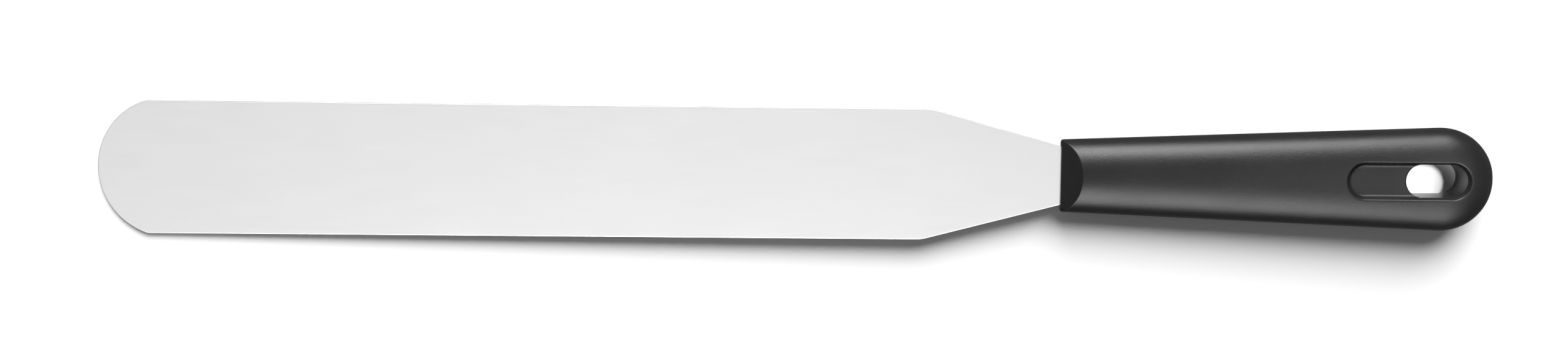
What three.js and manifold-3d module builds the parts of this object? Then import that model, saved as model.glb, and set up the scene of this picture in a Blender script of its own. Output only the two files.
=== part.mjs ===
// Straight icing spatula: a long flexible steel blade with a round tip, whose hidden tang is
// moulded into a black plastic handle with a hanging slot.
//
// Millimetres. +X runs from the blade's tip to the handle's butt, +Y across the blade and +Z up,
// square to the blade. The origin is under the middle of the object, level with the underside of
// the handle. Lengths inside the functions are measured from the tip of the blade, and heights
// from the middle of its thickness.

import * as THREE from 'three';
import { mergeVertices } from 'three/addons/utils/BufferGeometryUtils.js';
import Module from 'manifold-3d';

// Blade: the part of the steel that shows.
const BLADE_LENGTH = 300;
const BLADE_TIP_WIDTH = 41.5;
const BLADE_SHOULDER_WIDTH = 40.86;
const BLADE_THICKNESS = 1.2;
const TIP_RADIUS = 21.83;
const NECK_WIDTH = 18.3;

// Shoulders: where the straight edges turn in towards the handle. The two sides were ground to
// slightly different lengths and roundings.
const SHOULDERS = {
  left: { side: 1, length: 40.6, rounding: 2.6 },
  right: { side: -1, length: 43.1, rounding: 1.5 },
};

// Tang: the part of the steel inside the handle, left a little thicker than the ground blade.
const TANG_THICKNESS = 1.3;
const TANG_WIDTH = 12;
const TANG_LENGTH = 72;
const TANG_NECK_LENGTH = 11.7;
const TANG_HOLE_RADIUS = 3;
const TANG_HOLE_DISTANCES = [22, 40, 58];
const TANG_OVERLAP = 0.2;

// Handle: straight sides that widen towards a round butt, with an oval section.
const HANDLE_LENGTH = 134.4;
const HANDLE_FRONT_WIDTH = 22.7;
const BUTT_RADIUS = 16.1;
const HANDLE_FRONT_THICKNESS = 14;
const HANDLE_BUTT_THICKNESS = 16.5;
const SWELL_LENGTH = 90;
const SECTION_POWER_FRONT = 2;
const SECTION_POWER_BUTT = 2.4;

// Front of the handle: a blunt edge, and above and below it a flat slanted face.
const FRONT_EDGE_HEIGHT = 3.2;
const FRONT_FACE_LENGTH = 5.9;

// Hanging slot: it goes right through at the butt end of a shallow recess, one on each face.
// SLOT_END is the distance from the front of the handle to the end of the slot nearest the butt,
// where the recess ends too.
const SLOT_END = 125.7;
const SLOT_WIDTH = 11;
const SLOT_LENGTH = 19.8;
const RECESS_LENGTH = 37.9;
const RECESS_DEPTH = 2.5;

// Space kept between the steel and the plastic around it.
const FIT_GAP = 0.3;

// How finely round shapes are divided.
const ARC_SEGMENTS = 20;
const SECTION_POINTS = 48;
const SIDE_STATIONS = 14;
const BUTT_STATIONS = 12;

const TOTAL_LENGTH = BLADE_LENGTH + HANDLE_LENGTH;
const CUTTER_REACH = 2 * HANDLE_BUTT_THICKNESS;

const wasm = await Module();
wasm.setup();

// A closed mesh as a solid that can be joined to others and cut.
function solidFrom(geometry) {
  const bare = geometry.clone();
  bare.deleteAttribute('normal');
  bare.deleteAttribute('uv');
  const welded = mergeVertices(bare);
  return new wasm.Manifold(new wasm.Mesh({
    numProp: 3,
    vertProperties: new Float32Array(welded.attributes.position.array),
    triVerts: new Uint32Array(welded.index.array),
  }));
}

function geometryFrom(solid) {
  const mesh = solid.getMesh();
  const geometry = new THREE.BufferGeometry();
  geometry.setAttribute('position', new THREE.BufferAttribute(mesh.vertProperties, 3));
  geometry.setIndex(new THREE.BufferAttribute(mesh.triVerts, 1));
  geometry.computeVertexNormals();
  return geometry;
}

// A flat outline in the plane of the blade, made solid between two heights.
function plate(outline, bottom, top) {
  const geometry = new THREE.ExtrudeGeometry(outline, {
    depth: top - bottom,
    bevelEnabled: false,
    curveSegments: ARC_SEGMENTS,
  });
  geometry.translate(0, 0, bottom);
  return solidFrom(geometry);
}

// The point of a straight line from one point to another, at a distance back from its end.
function shortOf(from, to, distance) {
  const back = from.clone().sub(to).setLength(distance);
  return to.clone().add(back);
}

// One shoulder: the edge comes in along the blade, turns through a short curve and leaves
// towards the neck.
function shoulderPoints({ side, length, rounding }) {
  const tipCorner = new THREE.Vector2(0, side * BLADE_TIP_WIDTH / 2);
  const corner = new THREE.Vector2(BLADE_LENGTH - length, side * BLADE_SHOULDER_WIDTH / 2);
  const neck = new THREE.Vector2(BLADE_LENGTH, side * NECK_WIDTH / 2);
  return {
    corner,
    neck,
    bladeSide: shortOf(tipCorner, corner, rounding),
    neckSide: shortOf(neck, corner, rounding),
  };
}

function bladeOutline() {
  const left = shoulderPoints(SHOULDERS.left);
  const right = shoulderPoints(SHOULDERS.right);
  const tipCornerAngle = Math.asin(BLADE_TIP_WIDTH / 2 / TIP_RADIUS);
  const outline = new THREE.Shape();
  outline.absarc(TIP_RADIUS, 0, TIP_RADIUS, Math.PI - tipCornerAngle, Math.PI + tipCornerAngle, false);
  outline.lineTo(right.bladeSide.x, right.bladeSide.y);
  outline.quadraticCurveTo(right.corner.x, right.corner.y, right.neckSide.x, right.neckSide.y);
  outline.lineTo(right.neck.x, right.neck.y);
  outline.lineTo(left.neck.x, left.neck.y);
  outline.lineTo(left.neckSide.x, left.neckSide.y);
  outline.quadraticCurveTo(left.corner.x, left.corner.y, left.bladeSide.x, left.bladeSide.y);
  outline.closePath();
  return outline;
}

// The tang seen from above, starting a distance in front of the handle. Growing it all round,
// which also shrinks its holes, gives the space that the plastic leaves for it.
function tangOutline(lead, grow) {
  const neckSlope = (NECK_WIDTH - TANG_WIDTH) / 2 / TANG_NECK_LENGTH;
  const start = BLADE_LENGTH - lead;
  const startHalf = NECK_WIDTH / 2 + neckSlope * lead + grow;
  const half = TANG_WIDTH / 2 + grow;
  const neckEnd = BLADE_LENGTH + TANG_NECK_LENGTH;
  const endCentre = BLADE_LENGTH + TANG_LENGTH - TANG_WIDTH / 2;
  const outline = new THREE.Shape();
  outline.moveTo(start, -startHalf);
  outline.lineTo(neckEnd, -half);
  outline.absarc(endCentre, 0, half, -Math.PI / 2, Math.PI / 2, false);
  outline.lineTo(neckEnd, half);
  outline.lineTo(start, startHalf);
  outline.closePath();
  for (const distance of TANG_HOLE_DISTANCES) {
    const hole = new THREE.Path();
    hole.absarc(BLADE_LENGTH + distance, 0, TANG_HOLE_RADIUS - grow, 0, 2 * Math.PI, true);
    outline.holes.push(hole);
  }
  return outline;
}

function bladeSolid() {
  const blade = plate(bladeOutline(), -BLADE_THICKNESS / 2, BLADE_THICKNESS / 2);
  const tang = plate(tangOutline(TANG_OVERLAP, 0), -TANG_THICKNESS / 2, TANG_THICKNESS / 2);
  return blade.add(tang);
}

// Each side of the handle is a straight line from the front corner that runs on smoothly into
// the circle of the butt. Distances are from the front of the handle.
const buttCentre = HANDLE_LENGTH - BUTT_RADIUS;
const cornerToCentre = Math.hypot(buttCentre, HANDLE_FRONT_WIDTH / 2);
const sideAngle = Math.asin(BUTT_RADIUS / cornerToCentre)
  - Math.atan2(HANDLE_FRONT_WIDTH / 2, buttCentre);
const sideEnd = buttCentre - BUTT_RADIUS * Math.sin(sideAngle);

// The width, thickness and squareness of the section at a distance from the front.
function handleSection(distance) {
  const alongButt = Math.max(0, distance - buttCentre) / BUTT_RADIUS;
  const power = THREE.MathUtils.lerp(SECTION_POWER_FRONT, SECTION_POWER_BUTT,
    Math.min(1, distance / buttCentre));
  const swell = Math.sin(Math.PI / 2 * Math.min(1, distance / SWELL_LENGTH));
  const thickness = THREE.MathUtils.lerp(HANDLE_FRONT_THICKNESS, HANDLE_BUTT_THICKNESS, swell);
  const halfWidth = distance < sideEnd
    ? HANDLE_FRONT_WIDTH / 2 + distance * Math.tan(sideAngle)
    : Math.sqrt(BUTT_RADIUS ** 2 - (distance - buttCentre) ** 2);
  const halfHeight = thickness / 2 * (1 - alongButt ** power) ** (1 / power);
  return { halfWidth, halfHeight, power };
}

function stationDistances() {
  const distances = [];
  for (let i = 0; i < SIDE_STATIONS; i += 1) {
    distances.push(sideEnd * i / SIDE_STATIONS);
  }
  for (let i = 0; i < BUTT_STATIONS; i += 1) {
    const angle = THREE.MathUtils.lerp(-sideAngle, Math.PI / 2, i / BUTT_STATIONS);
    distances.push(buttCentre + BUTT_RADIUS * Math.sin(angle));
  }
  return distances;
}

// A coordinate of a squared-off oval: the sine or cosine with its curve flattened by the power.
function flattened(value, power) {
  return Math.sign(value) * Math.abs(value) ** (2 / power);
}

// The whole oval body, as rings of points from the front to the last point of the butt.
function handleBody() {
  const positions = [];
  const triangles = [];
  const distances = stationDistances();
  for (const distance of distances) {
    const { halfWidth, halfHeight, power } = handleSection(distance);
    for (let k = 0; k < SECTION_POINTS; k += 1) {
      const angle = 2 * Math.PI * k / SECTION_POINTS;
      positions.push(BLADE_LENGTH + distance,
        halfWidth * flattened(Math.cos(angle), power),
        halfHeight * flattened(Math.sin(angle), power));
    }
  }
  for (let ring = 0; ring + 1 < distances.length; ring += 1) {
    for (let k = 0; k < SECTION_POINTS; k += 1) {
      const next = (k + 1) % SECTION_POINTS;
      const a = ring * SECTION_POINTS + k;
      const b = ring * SECTION_POINTS + next;
      triangles.push(a, b, a + SECTION_POINTS);
      triangles.push(b, b + SECTION_POINTS, a + SECTION_POINTS);
    }
  }
  const frontCentre = distances.length * SECTION_POINTS;
  const buttPoint = frontCentre + 1;
  const lastRing = frontCentre - SECTION_POINTS;
  positions.push(BLADE_LENGTH, 0, 0);
  positions.push(TOTAL_LENGTH, 0, 0);
  for (let k = 0; k < SECTION_POINTS; k += 1) {
    const next = (k + 1) % SECTION_POINTS;
    triangles.push(frontCentre, next, k);
    triangles.push(buttPoint, lastRing + k, lastRing + next);
  }
  const geometry = new THREE.BufferGeometry();
  geometry.setAttribute('position', new THREE.Float32BufferAttribute(positions, 3));
  geometry.setIndex(triangles);
  return solidFrom(geometry);
}

// What the slanted face takes off the upper or lower front corner of the body.
function frontFaceCutter(side) {
  const rise = (HANDLE_FRONT_THICKNESS - FRONT_EDGE_HEIGHT) / 2;
  const steps = CUTTER_REACH / rise;
  const profile = new THREE.Shape();
  profile.moveTo(-FRONT_FACE_LENGTH, -side * (FRONT_EDGE_HEIGHT / 2 - rise));
  profile.lineTo(FRONT_FACE_LENGTH * steps, -side * (FRONT_EDGE_HEIGHT / 2 + rise * steps));
  profile.lineTo(-FRONT_FACE_LENGTH, -side * (FRONT_EDGE_HEIGHT / 2 + rise * steps));
  profile.closePath();
  const geometry = new THREE.ExtrudeGeometry(profile, {
    depth: 2 * HANDLE_FRONT_WIDTH,
    bevelEnabled: false,
  });
  geometry.translate(0, 0, -HANDLE_FRONT_WIDTH);
  geometry.rotateX(-Math.PI / 2);
  geometry.translate(BLADE_LENGTH, 0, 0);
  return solidFrom(geometry);
}

// A round-ended slot that stops at the slots' common end.
function slotOutline(length) {
  const end = BLADE_LENGTH + SLOT_END - SLOT_WIDTH / 2;
  const start = BLADE_LENGTH + SLOT_END - length + SLOT_WIDTH / 2;
  const outline = new THREE.Shape();
  outline.absarc(end, 0, SLOT_WIDTH / 2, -Math.PI / 2, Math.PI / 2, false);
  outline.absarc(start, 0, SLOT_WIDTH / 2, Math.PI / 2, 3 * Math.PI / 2, false);
  outline.closePath();
  return outline;
}

function handleSolid() {
  const recessFloor = HANDLE_BUTT_THICKNESS / 2 - RECESS_DEPTH;
  const cavityHalf = TANG_THICKNESS / 2 + FIT_GAP;
  const cutters = [
    frontFaceCutter(1),
    frontFaceCutter(-1),
    plate(tangOutline(FRONT_FACE_LENGTH, FIT_GAP), -cavityHalf, cavityHalf),
    plate(slotOutline(SLOT_LENGTH), -CUTTER_REACH, CUTTER_REACH),
    plate(slotOutline(RECESS_LENGTH), recessFloor, CUTTER_REACH),
    plate(slotOutline(RECESS_LENGTH), -CUTTER_REACH, -recessFloor),
  ];
  return cutters.reduce((body, cutter) => body.subtract(cutter), handleBody());
}

function piece(name, solid, material) {
  const mesh = new THREE.Mesh(geometryFrom(solid), material);
  mesh.name = name;
  return mesh;
}

const steel = new THREE.MeshStandardMaterial({ color: 0xc9cacb, roughness: 0.38, metalness: 1 });
const plastic = new THREE.MeshStandardMaterial({ color: 0x1c1c1d, roughness: 0.45, metalness: 0 });

const group = new THREE.Group();
group.position.set(-TOTAL_LENGTH / 2, 0, HANDLE_BUTT_THICKNESS / 2);
group.add(piece('blade', bladeSolid(), steel));
group.add(piece('handle', handleSolid(), plastic));

export default group;
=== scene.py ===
"""A straight icing spatula: a satin steel blade with a round tip in a black plastic handle.

The shapes below are made in millimetres, measured from the middle of the handle's front edge, and
placed in the CAD frame in metres at the end.
"""

import math

import bmesh
import bpy
from mathutils import Matrix, Vector


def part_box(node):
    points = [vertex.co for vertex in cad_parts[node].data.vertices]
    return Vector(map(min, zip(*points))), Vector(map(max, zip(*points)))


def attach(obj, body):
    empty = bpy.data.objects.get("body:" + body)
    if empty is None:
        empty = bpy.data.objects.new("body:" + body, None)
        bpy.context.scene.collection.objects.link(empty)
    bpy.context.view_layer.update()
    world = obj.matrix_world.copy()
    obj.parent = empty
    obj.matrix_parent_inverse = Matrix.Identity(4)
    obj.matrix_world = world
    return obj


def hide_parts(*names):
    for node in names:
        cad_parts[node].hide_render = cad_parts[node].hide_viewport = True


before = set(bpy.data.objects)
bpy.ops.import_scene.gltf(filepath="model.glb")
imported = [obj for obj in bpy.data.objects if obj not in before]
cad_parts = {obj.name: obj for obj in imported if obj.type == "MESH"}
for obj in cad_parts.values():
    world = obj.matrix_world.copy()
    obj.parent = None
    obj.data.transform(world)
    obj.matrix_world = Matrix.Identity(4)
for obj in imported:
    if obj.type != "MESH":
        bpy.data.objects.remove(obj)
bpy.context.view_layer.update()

MM = 0.001
BLADE_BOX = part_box("blade")
HANDLE_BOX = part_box("handle")

# The handle's front edge, its length and its butt, from the frame.
FRONT = Vector((HANDLE_BOX[0].x, 0, (HANDLE_BOX[0].z + HANDLE_BOX[1].z) / 2))
HANDLE_LENGTH = (HANDLE_BOX[1].x - HANDLE_BOX[0].x) / MM
BUTT_RADIUS = (HANDLE_BOX[1].y - HANDLE_BOX[0].y) / 2 / MM
BUTT_HALF_HEIGHT = (HANDLE_BOX[1].z - HANDLE_BOX[0].z) / 2 / MM

# Handle, as in the CAD model.
FRONT_HALF_WIDTH = 11.35
FRONT_HALF_HEIGHT = 7
SWELL_LENGTH = 90
FRONT_POWER = 2
BUTT_POWER = 2.4
FRONT_EDGE_HALF_HEIGHT = 1.6
FRONT_FACE_LENGTH = 5.9
FRONT_CORNER_RADIUS = 0.8
FRONT_SLOPE = (FRONT_HALF_HEIGHT - FRONT_EDGE_HALF_HEIGHT) / FRONT_FACE_LENGTH
SLOT_END = 125.7
SLOT_RADIUS = 5.5
SLOT_LENGTH = 19.8
RECESS_LENGTH = 37.9
RECESS_DEPTH = 2.5

# Fine edges, and the draft of the moulding as a slope. The CAD model has none of them.
BLADE_EDGE_RADIUS = 0.15
FACE_EDGE_RADIUS = 0.3
RIM_RADIUS = 0.8
FLOOR_FILLET = 1.2
SLOT_EDGE_RADIUS = 0.2
RECESS_DRAFT = 0.12
SLOT_DRAFT = 0.012

# Mouth and hidden pocket, plain and close round the tang.
MOUTH_HALF_WIDTH = 9.2
MOUTH_HALF_HEIGHT = 0.62
MOUTH_DEPTH = 0.3
POCKET_HALF_WIDTH = 6.05
POCKET_NECK = 11.7
POCKET_DEPTH = 72.1

# Blade, as in the CAD model, but the hidden tang is as thick as the blade and has no holes.
BLADE_LENGTH = (HANDLE_BOX[0].x - BLADE_BOX[0].x) / MM
BLADE_HALF_WIDTH = (BLADE_BOX[1].y - BLADE_BOX[0].y) / 2 / MM
SHOULDER_HALF_WIDTH = 20.43
BLADE_HALF_THICKNESS = 0.6
TIP_RADIUS = 21.83
NECK_HALF_WIDTH = 9.15
LEFT_SHOULDER = {"length": 40.6, "rounding": 2.6}
RIGHT_SHOULDER = {"length": 43.1, "rounding": 1.5}
TANG_HALF_WIDTH = 6
TANG_LENGTH = 72
TIP_CENTRE_X = TIP_RADIUS - BLADE_LENGTH
TIP_CORNER_ANGLE = math.asin(BLADE_HALF_WIDTH / TIP_RADIUS)
TIP_CORNER_X = TIP_CENTRE_X - TIP_RADIUS * math.cos(TIP_CORNER_ANGLE)

# How finely the surfaces are divided. The shares and borders place extra rows near edges.
COLUMNS = 64
SIDE_ROWS = 44
BEND_STEPS = 4
CORNER_STEPS = 8
FACE_SHARES = (0.3, 0.5, 0.7)
FILLET_STEPS = 6
FLOOR_STEPS = 5
WALL_STEPS = 4
COLLAR_ROWS = 14
SLOT_SIDE_STEPS = 10
RECESS_SIDE_STEPS = 16
RECESS_SIDE_EASE = 1.7
BUTT_STEPS = 36
TIP_STEPS = 32
SHOULDER_STEPS = 8
TANG_END_STEPS = 8
BLADE_BORDERS = (0.8, 0.45)
NEAR_EDGE = 0.03

# Where the evenly spaced rows of the handle begin behind its front face, and where they end and
# the collar round the recess begins.
SIDE_START = 0.7
COLLAR_START = 76

# Points closer than WELD become one, and TINY stands in for a divisor of zero.
WELD = 0.0005
TINY = 1e-6

# The most of a stretch that a rounding at its end may take, which keeps roundings apart.
MAX_BEND_SHARE = 0.45
MAX_FILLET_SHARE = 0.5

# Limits how far the point of a sharp corner moves when an outline is inset.
SHARPEST_MITRE = 0.3

# Rounds of the search for the line where the slanted face leaves the body.
REACH_ROUNDS = 12


def lerp(a, b, t):
    return a + (b - a) * t


class Skin:
    """A closed surface made of grids of points, welded where the grids meet."""

    def __init__(self):
        self.points = []
        self.faces = []

    def grid(self, rows, closed=False):
        """Joins rows of equally many points. closed also joins each row's last point to its first."""
        width = len(rows[0])
        first = len(self.points)
        for row in rows:
            self.points.extend(row)
        for r in range(len(rows) - 1):
            for k in range(width if closed else width - 1):
                a = first + r * width + k
                b = first + r * width + (k + 1) % width
                self.faces.append((a, b, b + width, a + width))

    def cap(self, row):
        """Fills a closed row with one face."""
        first = len(self.points)
        self.points.extend(row)
        self.faces.append(tuple(range(first, first + len(row))))

    def build(self, name):
        """Makes the object: welded, facing outwards, in metres in the CAD frame."""
        mesh = bpy.data.meshes.new(name)
        mesh.from_pydata(self.points, [], self.faces)
        work = bmesh.new()
        work.from_mesh(mesh)
        bmesh.ops.remove_doubles(work, verts=work.verts, dist=WELD)
        bmesh.ops.dissolve_degenerate(work, edges=work.edges, dist=WELD)
        bmesh.ops.recalc_face_normals(work, faces=work.faces)
        work.to_mesh(mesh)
        work.free()
        mesh.transform(Matrix.Translation(FRONT) @ Matrix.Scale(MM, 4))
        mesh.shade_smooth()
        piece = bpy.data.objects.new(name, mesh)
        bpy.context.scene.collection.objects.link(piece)
        return piece


def bend(before, corner, after, radius):
    """Points round a corner on the way from before to after, starting about a radius short of it."""
    back = before - corner
    ahead = after - corner
    start = corner + back * min(radius / max(back.length, TINY), MAX_BEND_SHARE)
    end = corner + ahead * min(radius / max(ahead.length, TINY), MAX_BEND_SHARE)
    steps = [i / BEND_STEPS for i in range(BEND_STEPS + 1)]
    return [lerp(lerp(start, corner, t), lerp(corner, end, t), t) for t in steps]


def quarter_turn(steps=BEND_STEPS):
    """Angles from 0 to a right angle."""
    return [math.pi / 2 * i / steps for i in range(steps + 1)]


# The oval body of the handle -------------------------------------------------------------------

BUTT_CENTRE = HANDLE_LENGTH - BUTT_RADIUS
SIDE_ANGLE = math.asin(
    BUTT_RADIUS / math.hypot(BUTT_CENTRE, FRONT_HALF_WIDTH)
) - math.atan2(FRONT_HALF_WIDTH, BUTT_CENTRE)
SIDE_END = BUTT_CENTRE - BUTT_RADIUS * math.sin(SIDE_ANGLE)


def half_width(x):
    """Half the width of the handle seen from above."""
    if x > SIDE_END:
        return math.sqrt(max(BUTT_RADIUS**2 - (x - BUTT_CENTRE) ** 2, 0))
    into_corner = max(FRONT_CORNER_RADIUS - x, 0) / FRONT_CORNER_RADIUS
    rounding = FRONT_CORNER_RADIUS * (1 - math.sqrt(1 - min(into_corner, 1) ** 2))
    return FRONT_HALF_WIDTH + x * math.tan(SIDE_ANGLE) - rounding


def section_power(x):
    """How square the section is: 2 is an ellipse."""
    return lerp(FRONT_POWER, BUTT_POWER, min(x / BUTT_CENTRE, 1))


def half_height(x):
    """Half the thickness of the handle along its middle."""
    power = section_power(x)
    along_butt = min(max(x - BUTT_CENTRE, 0) / BUTT_RADIUS, 1)
    swell = math.sin(math.pi / 2 * min(x / SWELL_LENGTH, 1))
    height = lerp(FRONT_HALF_HEIGHT, BUTT_HALF_HEIGHT, swell)
    return height * (1 - along_butt**power) ** (1 / power)


def body_height(x, y):
    """Height of the upper surface of the body over a point."""
    power = section_power(x)
    across = min(abs(y) / max(half_width(x), TINY), 1)
    return half_height(x) * (1 - across**power) ** (1 / power)


def flattened(value, power):
    """Turns a sine or cosine round a circle into the same for a section of that power."""
    return math.copysign(abs(value) ** (2 / power), value)


def body_point(x, angle):
    """The point of the section at x that lies at an angle round it, from the left edge."""
    power = section_power(x)
    y = half_width(x) * flattened(math.cos(angle), power)
    z = half_height(x) * flattened(math.sin(angle), power)
    return Vector((x, y, z))


# Front of the handle ---------------------------------------------------------------------------

def front_face_reach(angle):
    """How far back the slanted front face cuts the body at this angle, 0 beside the face."""
    x = 0
    for _ in range(REACH_ROUNDS):
        x = max((abs(body_point(x, angle).z) - FRONT_EDGE_HALF_HEIGHT) / FRONT_SLOPE, 0)
    return x


def mouth_point(edge, angle):
    """Where the mouth of the pocket faces a point of the front edge."""
    if abs(edge.y) < MOUTH_HALF_WIDTH:
        return Vector((0, edge.y, math.copysign(MOUTH_HALF_HEIGHT, edge.z)))
    corner_angle = math.acos(MOUTH_HALF_WIDTH / FRONT_HALF_WIDTH)
    share = math.sin(angle) / math.sin(corner_angle)
    height = MOUTH_HALF_HEIGHT * max(-1, min(share, 1))
    return Vector((0, math.copysign(MOUTH_HALF_WIDTH, edge.y), height))


def front_column(angle):
    """One line of the surface, from the bottom of the pocket, out of the mouth, over the front
    edge and the slanted face, and back along the body to the collar."""
    reach = front_face_reach(angle)
    behind = max(reach, FRONT_CORNER_RADIUS)
    face_end = body_point(behind, angle)
    if reach > 0:
        edge = Vector((0, face_end.y * half_width(0) / half_width(behind), 0))
        edge.z = math.copysign(FRONT_EDGE_HALF_HEIGHT, face_end.z)
    else:
        edge = body_point(0, angle)
    mouth = mouth_point(edge, angle)
    narrow = POCKET_HALF_WIDTH / MOUTH_HALF_WIDTH
    pocket = [
        Vector((POCKET_DEPTH, mouth.y * narrow, mouth.z)),
        Vector((POCKET_NECK, mouth.y * narrow, mouth.z)),
        Vector((MOUTH_DEPTH, mouth.y, mouth.z)),
        mouth,
    ]
    face = []
    if reach > 0:
        face += bend(mouth, edge, face_end, FACE_EDGE_RADIUS)
        face += [lerp(edge, face_end, share) for share in FACE_SHARES]
    else:
        turns = quarter_turn(CORNER_STEPS)[:-1]
        face += [body_point(behind * (1 - math.cos(turn)), angle) for turn in turns]
    before = lerp(edge, face_end, FACE_SHARES[-1])
    face += bend(before, face_end, body_point(behind + 1, angle), FACE_EDGE_RADIUS)
    side = []
    for i in range(SIDE_ROWS + 1):
        x = lerp(behind + SIDE_START, COLLAR_START, i / SIDE_ROWS)
        side.append(body_point(x, angle))
    return pocket + face + side


def add_front(skin):
    angles = [2 * math.pi * k / COLUMNS for k in range(COLUMNS)]
    columns = [front_column(angle) for angle in angles]
    rows = list(zip(*columns))
    skin.grid(rows, closed=True)
    skin.cap(rows[0])


# Collar, recess and hanging slot, on one half of the handle ------------------------------------

SLOT_RIGHT = SLOT_END - SLOT_RADIUS
SLOT_LEFT = SLOT_END - SLOT_LENGTH + SLOT_RADIUS
RECESS_LEFT = SLOT_END - RECESS_LENGTH + SLOT_RADIUS
RECESS_FLOOR = BUTT_HALF_HEIGHT - RECESS_DEPTH
FOOT_RADIUS = SLOT_RADIUS - RECESS_DRAFT * RECESS_DEPTH


def turning(centre_x, start, end, steps):
    """Rays that turn about one centre, without the last."""
    rays = []
    for i in range(steps):
        angle = math.radians(lerp(start, end, i / steps))
        rays.append((Vector((centre_x, 0)), Vector((math.cos(angle), math.sin(angle)))))
    return rays


def sliding(start_x, end_x, side, steps, ease=1.0):
    """Rays that all point to one side from centres along the axis, without the last."""
    rays = []
    for i in range(steps):
        x = lerp(start_x, end_x, (i / steps) ** ease)
        rays.append((Vector((x, 0)), Vector((0, side))))
    return rays


def recess_rays():
    """Centres and directions of the rays that draw the recess and every outline offset from it."""
    left_side = sliding(SLOT_RIGHT, SLOT_LEFT, 1, SLOT_SIDE_STEPS)
    left_side += sliding(SLOT_LEFT, RECESS_LEFT, 1, RECESS_SIDE_STEPS, RECESS_SIDE_EASE)
    right_side = [(centre, -ray) for centre, ray in reversed(left_side[1:])]
    return (
        turning(SLOT_RIGHT, -90, 90, BUTT_STEPS)
        + left_side
        + turning(RECESS_LEFT, 90, 270, COLUMNS // 2)
        + [(Vector((RECESS_LEFT, 0)), Vector((0, -1)))]
        + right_side
    )


def slot_rays():
    """The same number of rays, for the slot: its front end faces the whole front of the recess."""
    around_front = 2 * RECESS_SIDE_STEPS + COLUMNS // 2
    left_side = sliding(SLOT_RIGHT, SLOT_LEFT, 1, SLOT_SIDE_STEPS)
    right_side = [(centre, -ray) for centre, ray in reversed(left_side[1:])]
    return (
        turning(SLOT_RIGHT, -90, 90, BUTT_STEPS)
        + left_side
        + turning(SLOT_LEFT, 90, 270, around_front)
        + [(Vector((SLOT_LEFT, 0)), Vector((0, -1)))]
        + right_side
    )


def collar_edge():
    """The outer edge of the collar: round the butt, along the side, and across the handle."""
    points = []
    for i in range(BUTT_STEPS):
        angle = math.radians(lerp(-90, 90, i / BUTT_STEPS))
        x = BUTT_CENTRE + BUTT_RADIUS * math.cos(angle)
        points.append(Vector((x, BUTT_RADIUS * math.sin(angle), 0)))
    side = []
    steps = SLOT_SIDE_STEPS + RECESS_SIDE_STEPS
    for i in range(steps):
        x = lerp(BUTT_CENTRE, COLLAR_START, i / steps)
        side.append(Vector((x, half_width(x), 0)))
    across = [
        body_point(COLLAR_START, math.pi * i / (COLUMNS // 2)) for i in range(COLUMNS // 2)
    ]
    corner = Vector((COLLAR_START, -half_width(COLLAR_START), 0))
    other_side = [Vector((point.x, -point.y, 0)) for point in reversed(side[1:])]
    return points + side + across + [corner] + other_side


def on_body(plan, sink=0.0):
    """A point of the plan, put on the upper surface of the body or below it."""
    return Vector((plan.x, plan.y, body_height(plan.x, plan.y) - sink))


def collar_rows(rays):
    """From the outer edge of the collar in to the start of the recess's rim."""
    edge = collar_edge()
    inner = [centre + ray * (SLOT_RADIUS + RIM_RADIUS) for centre, ray in rays]
    rows = [edge]
    shares = [math.sin(math.pi / 2 * r / COLLAR_ROWS) for r in range(COLLAR_ROWS - 1, 0, -1)]
    for share in shares + [NEAR_EDGE, 0]:
        rows.append([on_body(lerp(i, e.xy, share)) for i, e in zip(inner, edge)])
    return rows


def foot_ring(rays):
    """The foot of the recess's wall, or from the slot's rays the slot's outline."""
    return [centre + ray * FOOT_RADIUS for centre, ray in rays]


def floor_height(plan):
    """Height of the recess floor, which rises in a fillet to the foot of the wall."""
    nearest_on_axis = Vector((min(max(plan.x, RECESS_LEFT), SLOT_RIGHT), 0))
    from_wall = max(FOOT_RADIUS - (plan - nearest_on_axis).length, 0)
    into_fillet = max(FLOOR_FILLET - from_wall, 0)
    return RECESS_FLOOR + FLOOR_FILLET - math.sqrt(FLOOR_FILLET**2 - into_fillet**2)


def rim_rows(rays):
    """Over the rim and down the wall to its foot."""
    rows = []
    for turn in quarter_turn()[1:]:
        out = SLOT_RADIUS + RIM_RADIUS * (1 - math.sin(turn))
        sink = RIM_RADIUS * (1 - math.cos(turn))
        rows.append([on_body(centre + ray * out, sink) for centre, ray in rays])
    return rows


def floor_rows(foot, brink):
    """From the foot of the wall, down its fillet and over the recess floor to the slot's edge."""
    columns = []
    for start, end in zip(foot, brink):
        length = max((end - start).length, WELD)
        fillet = min(FLOOR_FILLET / length, MAX_FILLET_SHARE)
        shares = [fillet * (1 - math.cos(turn)) for turn in quarter_turn(FILLET_STEPS)[:-1]]
        shares += [lerp(fillet, 1, i / FLOOR_STEPS) for i in range(FLOOR_STEPS)]
        shares.append(1 - NEAR_EDGE)
        plans = [lerp(start, end, share) for share in shares]
        columns.append([Vector((*plan, floor_height(plan))) for plan in plans])
    return list(zip(*columns))


def edge_radius(centre, ray):
    """The slot's edge is rounded where the recess floor lies in front of it."""
    if ray.x >= 0 or centre.x > SLOT_LEFT:
        return 0
    room = FOOT_RADIUS * (1 / max(abs(ray.y), TINY) - 1)
    return min(SLOT_EDGE_RADIUS, room / 2)


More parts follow.
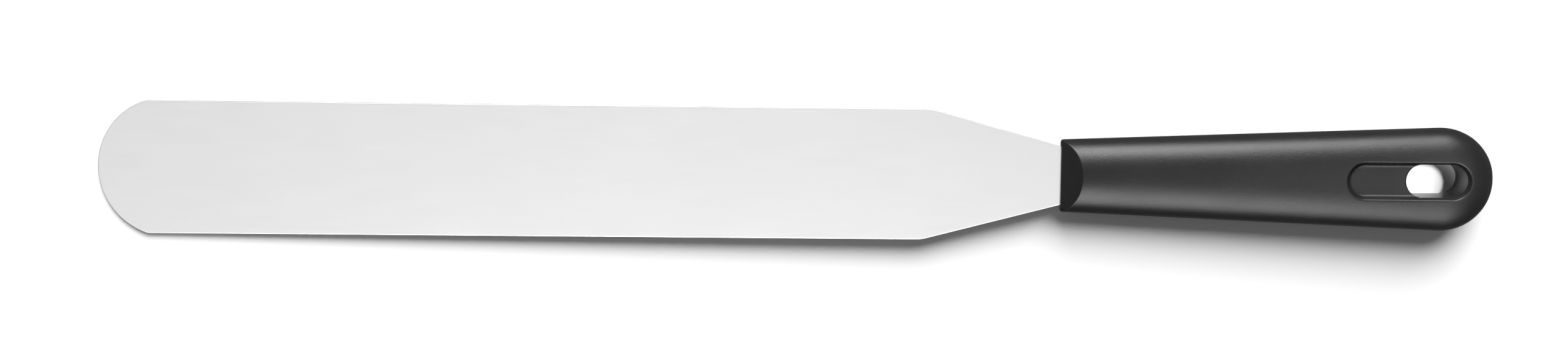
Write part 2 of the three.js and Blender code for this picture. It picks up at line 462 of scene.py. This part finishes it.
def slot_rows(foot, rays):
    """Round the slot's edge and down its wall to the middle of the handle."""
    ring = foot_ring(rays)
    edges = [edge_radius(centre, ray) for centre, ray in rays]
    brink = [point + ray * edge for point, (_, ray), edge in zip(ring, rays, edges)]
    tops = [floor_height(plan) for plan in brink]
    rows = floor_rows(foot, brink)
    for turn in quarter_turn():
        row = []
        for point, (_, ray), edge, top in zip(ring, rays, edges, tops):
            plan = point + ray * edge * (1 - math.sin(turn))
            row.append(Vector((*plan, top - edge * (1 - math.cos(turn)))))
        rows.append(row)
    for step in range(1, WALL_STEPS + 1):
        row = []
        for point, (_, ray), edge, top in zip(ring, rays, edges, tops):
            z = lerp(top - edge, 0, step / WALL_STEPS)
            row.append(Vector((*(point - ray * SLOT_DRAFT * (top - z)), z)))
        rows.append(row)
    return rows


def add_butt_half(skin, side):
    """The collar, recess and slot wall of the upper half, or mirrored, of the lower half."""
    rays = recess_rays()
    rows = collar_rows(rays) + rim_rows(rays) + slot_rows(foot_ring(rays), slot_rays())
    skin.grid([[Vector((p.x, p.y, side * p.z)) for p in row] for row in rows], closed=True)


def make_handle():
    skin = Skin()
    add_front(skin)
    add_butt_half(skin, 1)
    add_butt_half(skin, -1)
    return skin.build("spatula_handle")


# Blade -----------------------------------------------------------------------------------------

def shoulder(side, length, rounding):
    """The line of one edge from its tip corner, round the shoulder, to the neck and the tang."""
    start = Vector((TIP_CORNER_X, side * BLADE_HALF_WIDTH))
    corner = Vector((-length, side * SHOULDER_HALF_WIDTH))
    neck = Vector((0, side * NECK_HALF_WIDTH))
    turn = []
    for i in range(SHOULDER_STEPS + 1):
        t = i / SHOULDER_STEPS
        before = corner + (start - corner).normalized() * rounding * (1 - t)
        after = corner + (neck - corner).normalized() * rounding * t
        turn.append(lerp(before, after, t))
    return [start] + turn + [neck, Vector((POCKET_NECK, side * TANG_HALF_WIDTH))]


def blade_side(side, shape):
    """Half of the outline, from the tip to the end of the tang."""
    points = []
    for i in range(1, TIP_STEPS):
        angle = math.pi - TIP_CORNER_ANGLE * i / TIP_STEPS
        x = TIP_CENTRE_X + TIP_RADIUS * math.cos(angle)
        points.append(Vector((x, side * TIP_RADIUS * math.sin(angle))))
    points += shoulder(side, **shape)
    end_centre = TANG_LENGTH - TANG_HALF_WIDTH
    for angle in reversed(quarter_turn(TANG_END_STEPS)[1:]):
        x = end_centre + TANG_HALF_WIDTH * math.cos(angle)
        points.append(Vector((x, side * TANG_HALF_WIDTH * math.sin(angle))))
    return points


def inset(outline, distance):
    """The closed outline moved inwards, square to its edges. It runs anticlockwise."""
    moved = []
    for k, point in enumerate(outline):
        back = (point - outline[k - 1]).normalized()
        ahead = (outline[(k + 1) % len(outline)] - point).normalized()
        inward = Vector((-(back.y + ahead.y), back.x + ahead.x)).normalized()
        across = max(inward.dot(Vector((-ahead.y, ahead.x))), SHARPEST_MITRE)
        moved.append(point + inward * distance / across)
    return moved


def make_blade():
    left = blade_side(1, LEFT_SHOULDER)
    right = blade_side(-1, RIGHT_SHOULDER)
    tip = Vector((-BLADE_LENGTH, 0))
    end = Vector((TANG_LENGTH, 0))
    outline = [tip] + right + [end] + left[::-1]
    upper = [(border, BLADE_HALF_THICKNESS) for border in BLADE_BORDERS]
    for turn in quarter_turn():
        out = BLADE_EDGE_RADIUS * (1 - math.sin(turn))
        upper.append((out, BLADE_HALF_THICKNESS - BLADE_EDGE_RADIUS * (1 - math.cos(turn))))
    profile = upper + [(inward, -z) for inward, z in reversed(upper)]
    rows = [[Vector((*p, z)) for p in inset(outline, inward)] for inward, z in profile]
    skin = Skin()
    skin.grid(rows, closed=True)
    for row in (rows[0], rows[-1]):
        near = row[1 : len(right) + 1]
        far = row[: len(right) + 1 : -1]
        skin.grid([near, far])
        skin.cap([row[0], near[0], far[0]])
        skin.cap([row[len(right) + 1], far[-1], near[-1]])
    return skin.build("spatula_blade")


# Materials -------------------------------------------------------------------------------------

# Nearly all values of a noise lie between these.
NOISE_RANGE = (0.3, 0.7)

# Sockets of the node that mixes two colours, because its sockets share their names.
MIX_SHARE, MIX_FIRST, MIX_SECOND, MIX_RESULT = 0, 6, 7, 2

# Stretches of noise along the blade.
GRAIN_STRETCH = (0.012, 1, 1)
LINE_STRETCH = (0.02, 1, 1)

# Each material's colours and roughness, from one end of its range to the other.
STEEL_COLOURS = ((0.79, 0.79, 0.79, 1), (0.82, 0.82, 0.82, 1))
STEEL_ROUGHNESS = (0.375, 0.405)
STEEL_CLOUDINESS = (-0.004, 0.004)
PLASTIC_COLOURS = ((0.011, 0.011, 0.0112, 1), (0.014, 0.014, 0.0143, 1))
PLASTIC_ROUGHNESS = (0.30, 0.35)
PLASTIC_SPECULAR = 0.42
FLOOR_COLOURS = ((0.9, 0.9, 0.9, 1), (0.93, 0.93, 0.93, 1))
FLOOR_ROUGHNESS = 0.9


class Nodes:
    """A material's node tree, with short ways to add and join nodes."""

    def __init__(self, name):
        self.material = bpy.data.materials.new(name)
        self.material.use_nodes = True
        self.tree = self.material.node_tree
        self.shader = self.tree.nodes["Principled BSDF"]

    def add(self, kind, settings=None, **inputs):
        node = self.tree.nodes.new(kind)
        for key, value in (settings or {}).items():
            setattr(node, key, value)
        for key, value in inputs.items():
            self.put(value, node.inputs[key.replace("_", " ")])
        return node

    def put(self, value, socket):
        if isinstance(value, bpy.types.NodeSocket):
            self.tree.links.new(value, socket)
        else:
            socket.default_value = value

    def noise(self, scale, detail, roughness=0.55, stretch=(1, 1, 1)):
        """Noise over the object's own coordinates, which are in metres."""
        coordinates = self.add("ShaderNodeTexCoord")
        mapping = self.add("ShaderNodeMapping", Vector=coordinates.outputs["Object"], Scale=stretch)
        noise = self.add(
            "ShaderNodeTexNoise",
            Vector=mapping.outputs["Vector"],
            Scale=scale,
            Detail=detail,
            Roughness=roughness,
        )
        return noise.outputs["Fac"]

    def spread(self, noise, low, high):
        """Spreads a noise over the range from low to high."""
        node = self.add("ShaderNodeMapRange", Value=noise, To_Min=low, To_Max=high)
        self.put(NOISE_RANGE[0], node.inputs["From Min"])
        self.put(NOISE_RANGE[1], node.inputs["From Max"])
        return node.outputs["Result"]

    def sum(self, first, second):
        node = self.add("ShaderNodeMath", {"operation": "ADD"}, Value=first)
        self.put(second, node.inputs[1])
        return node.outputs["Value"]

    def bump(self, height, distance, strength, normal=None):
        """Small hills and dips, distance high in metres, on top of those of normal."""
        node = self.add("ShaderNodeBump", Height=height, Distance=distance, Strength=strength)
        if normal is not None:
            self.put(normal, node.inputs["Normal"])
        return node.outputs["Normal"]

    def mix_colour(self, share, first, second):
        node = self.add("ShaderNodeMix", {"data_type": "RGBA"})
        self.put(share, node.inputs[MIX_SHARE])
        self.put(first, node.inputs[MIX_FIRST])
        self.put(second, node.inputs[MIX_SECOND])
        return node.outputs[MIX_RESULT]


def satin_steel():
    """Sheet steel ground along its length, with slightly uneven roughness."""
    steel = Nodes("satin_steel")
    grain = steel.noise(scale=9000, detail=2, stretch=GRAIN_STRETCH)
    cloud = steel.noise(scale=45, detail=4)
    lines = steel.noise(scale=2500, detail=3, stretch=LINE_STRETCH)
    rough = steel.sum(steel.spread(lines, *STEEL_ROUGHNESS), steel.spread(cloud, *STEEL_CLOUDINESS))
    steel.put(steel.mix_colour(lines, *STEEL_COLOURS), steel.shader.inputs["Base Color"])
    steel.put(rough, steel.shader.inputs["Roughness"])
    normal = steel.bump(grain, distance=0.000002, strength=0.35)
    steel.put(normal, steel.shader.inputs["Normal"])
    steel.shader.inputs["Metallic"].default_value = 1.0
    return steel.material


def moulded_plastic():
    """Black plastic with the fine even texture of a spark-eroded mould."""
    plastic = Nodes("moulded_plastic")
    pits = plastic.noise(scale=3600, detail=3, roughness=0.6)
    ripple = plastic.noise(scale=900, detail=2)
    cloud = plastic.noise(scale=60, detail=3)
    rough = plastic.spread(cloud, *PLASTIC_ROUGHNESS)
    plastic.put(plastic.mix_colour(cloud, *PLASTIC_COLOURS), plastic.shader.inputs["Base Color"])
    plastic.put(rough, plastic.shader.inputs["Roughness"])
    normal = plastic.bump(ripple, distance=0.00003, strength=0.3)
    normal = plastic.bump(pits, distance=0.00006, strength=0.8, normal=normal)
    plastic.put(normal, plastic.shader.inputs["Normal"])
    plastic.shader.inputs["Specular IOR Level"].default_value = PLASTIC_SPECULAR
    return plastic.material


def pale_floor():
    """A matt, almost white surface without any gloss."""
    floor = Nodes("pale_floor")
    cloud = floor.noise(scale=3, detail=2)
    floor.put(floor.mix_colour(cloud, *FLOOR_COLOURS), floor.shader.inputs["Base Color"])
    floor.shader.inputs["Roughness"].default_value = FLOOR_ROUGHNESS
    floor.shader.inputs["Specular IOR Level"].default_value = 0.0
    return floor.material


# Stage -----------------------------------------------------------------------------------------

# Lengths are in metres from here on. The camera looks at VIEW_CENTRE from CAMERA_LEAN beside it.
CAMERA_HEIGHT = 0.65
CAMERA_LEAN = 0.068
CAMERA_ROLL = math.radians(0.55)
VIEW_WIDTH = 0.489
VIEW_CENTRE = Vector((-0.0034, 0.0009, FRONT.z))
FLOOR_SIZE = 60
FLOOR_GAP = 0.00005

# Soft lights at a great distance: azimuth, elevation and spread in degrees, and strength. The key
# light casts the shadow, and the cards are what the glossy surfaces mirror.
KEY_LIGHT = (78, 40, 50, 5.6)
LEFT_CARD = (90, 34, 34, 3.6)
RIGHT_CARD = (-90, 43, 42, 2.7)
OVERHEAD_CARD = (-175, 75, 84, 0.71)
DIM_SURROUND = 0.14

# A card over the far end of the handle.
BUTT_CARD_PLACE = Vector((0.42, -0.03, 0.6))
BUTT_CARD_SIZE = (0.36, 0.3)
BUTT_CARD_POWER = 0.5

# A small lamp over the hanging slot, which lights the floor below it. Its cone is in degrees.
SLOT_LAMP_HEIGHT = 0.1
SLOT_LAMP_LEAN = (0.24, 0.14)
SLOT_LAMP_RADIUS = 0.007
SLOT_LAMP_CONE = 10
SLOT_LAMP_POWER = 0.7


def add_camera():
    """Almost straight down, from a little to the left side of the blade."""
    camera = bpy.data.cameras.new("camera")
    place = VIEW_CENTRE + Vector((0, CAMERA_LEAN, CAMERA_HEIGHT))
    away = (place - VIEW_CENTRE).normalized()
    right = Vector((1, 0, 0))
    turn = Matrix((right, away.cross(right), away)).transposed().to_4x4()
    camera.sensor_width = 36
    camera.lens = camera.sensor_width * (place - VIEW_CENTRE).length / VIEW_WIDTH
    camera.clip_start = 0.01
    rig = bpy.data.objects.new("camera", camera)
    rig.matrix_world = Matrix.Translation(place) @ turn @ Matrix.Rotation(CAMERA_ROLL, 4, "Z")
    bpy.context.scene.collection.objects.link(rig)
    bpy.context.scene.camera = rig


def resting_slope():
    """How much the floor falls for each metre along +X, so that it touches the tip and the
    underside of the handle, on which the spatula rests."""
    tip = BLADE_BOX[0]
    handle_points = [vertex.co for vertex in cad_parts["handle"].data.vertices]
    return max((tip.z - point.z) / (point.x - tip.x) for point in handle_points)


def add_floor_part(name, low, high, gap):
    """A rectangle of floor between two corners, a gap below the object."""
    tip = BLADE_BOX[0]
    slope = resting_slope()
    corners = [(low.x, low.y), (high.x, low.y), (high.x, high.y), (low.x, high.y)]
    points = [(x, y, tip.z - gap - slope * (x - tip.x)) for x, y in corners]
    mesh = bpy.data.meshes.new(name)
    mesh.from_pydata(points, [], [(0, 1, 2, 3)])
    mesh.materials.append(pale_floor())
    part = bpy.data.objects.new(name, mesh)
    bpy.context.scene.collection.objects.link(part)
    return part


def add_floor():
    """Only the small part of the floor below the slot shows in glossy surfaces."""
    reach = Vector((FLOOR_SIZE, FLOOR_SIZE)) / 2
    add_floor_part("floor", -reach, reach, FLOOR_GAP).visible_glossy = False
    low = FRONT + MM * Vector((SLOT_LEFT - SLOT_RADIUS, -SLOT_RADIUS, 0))
    high = FRONT + MM * Vector((SLOT_END, SLOT_RADIUS, 0))
    add_floor_part("floor_below_slot", low, high, FLOOR_GAP / 2)


def aimed_lamp(name, kind, towards):
    """A lamp that shines from the direction given and that the camera doesn't see."""
    lamp = bpy.data.objects.new(name, bpy.data.lights.new(name, kind))
    lamp.rotation_mode = "QUATERNION"
    lamp.rotation_quaternion = towards.to_track_quat("Z", "Y")
    lamp.visible_camera = False
    bpy.context.scene.collection.objects.link(lamp)
    return lamp


def add_sun(name, azimuth, elevation, spread, strength):
    """A soft light so far away that it is even all over."""
    turn = math.radians(azimuth)
    rise = math.radians(elevation)
    level = Vector((math.cos(turn), math.sin(turn), 0))
    towards = level * math.cos(rise) + Vector((0, 0, math.sin(rise)))
    lamp = aimed_lamp(name, "SUN", towards)
    lamp.data.energy = strength
    lamp.data.angle = math.radians(spread)
    return lamp


def add_card(name, azimuth, elevation, spread, strength):
    """A sun that shows only in glossy surfaces, as a white card beside the object does."""
    lamp = add_sun(name, azimuth, elevation, spread, strength)
    lamp.visible_diffuse = False
    return lamp


def only_for(lamp, piece):
    """Lets the lamp light one piece and nothing else."""
    lit = bpy.data.collections.new("lit_by_" + lamp.name)
    lit.objects.link(piece)
    lamp.light_linking.receiver_collection = lit


def add_butt_card():
    """The card that the rounded far end of the handle mirrors."""
    lamp = aimed_lamp("butt_card", "AREA", BUTT_CARD_PLACE - HANDLE_BOX[1])
    lamp.location = BUTT_CARD_PLACE
    lamp.data.shape = "RECTANGLE"
    lamp.data.size, lamp.data.size_y = BUTT_CARD_SIZE
    lamp.data.energy = BUTT_CARD_POWER
    lamp.visible_diffuse = False
    return lamp


def add_slot_lamp():
    towards = Vector((*SLOT_LAMP_LEAN, 1)).normalized()
    slot_middle = FRONT + Vector(((SLOT_LEFT + SLOT_RIGHT) / 2 * MM, 0, 0))
    lamp = aimed_lamp("slot_lamp", "SPOT", towards)
    lamp.location = slot_middle + towards * SLOT_LAMP_HEIGHT
    lamp.data.energy = SLOT_LAMP_POWER
    lamp.data.spot_size = math.radians(SLOT_LAMP_CONE)
    lamp.data.shadow_soft_size = SLOT_LAMP_RADIUS
    lamp.visible_glossy = False


def add_world():
    """White where the camera sees it, and dim as light."""
    world = bpy.data.worlds.new("studio")
    world.use_nodes = True
    bpy.context.scene.world = world
    tree = world.node_tree
    tree.nodes.clear()
    path = tree.nodes.new("ShaderNodeLightPath")
    brightness = tree.nodes.new("ShaderNodeMapRange")
    brightness.inputs["To Min"].default_value = DIM_SURROUND
    background = tree.nodes.new("ShaderNodeBackground")
    output = tree.nodes.new("ShaderNodeOutputWorld")
    tree.links.new(path.outputs["Is Camera Ray"], brightness.inputs["Value"])
    tree.links.new(brightness.outputs["Result"], background.inputs["Strength"])
    tree.links.new(background.outputs["Background"], output.inputs["Surface"])
    background.inputs["Color"].default_value = (1, 1, 1, 1)


def add_lights(blade, handle):
    add_sun("key", *KEY_LIGHT).visible_glossy = False
    add_card("left_card", *LEFT_CARD)
    add_card("right_card", *RIGHT_CARD)
    only_for(add_card("overhead_card", *OVERHEAD_CARD), blade)
    only_for(add_butt_card(), handle)
    add_slot_lamp()


def dress(piece, material, node):
    """Gives a piece its material and lets it stand for its CAD node."""
    piece.data.materials.append(material)
    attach(piece, "root")
    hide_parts(node)


blade = make_blade()
handle = make_handle()
dress(blade, satin_steel(), "blade")
dress(handle, moulded_plastic(), "handle")
add_camera()
add_floor()
add_world()
add_lights(blade, handle)
bpy.context.scene.view_settings.view_transform = "Standard"
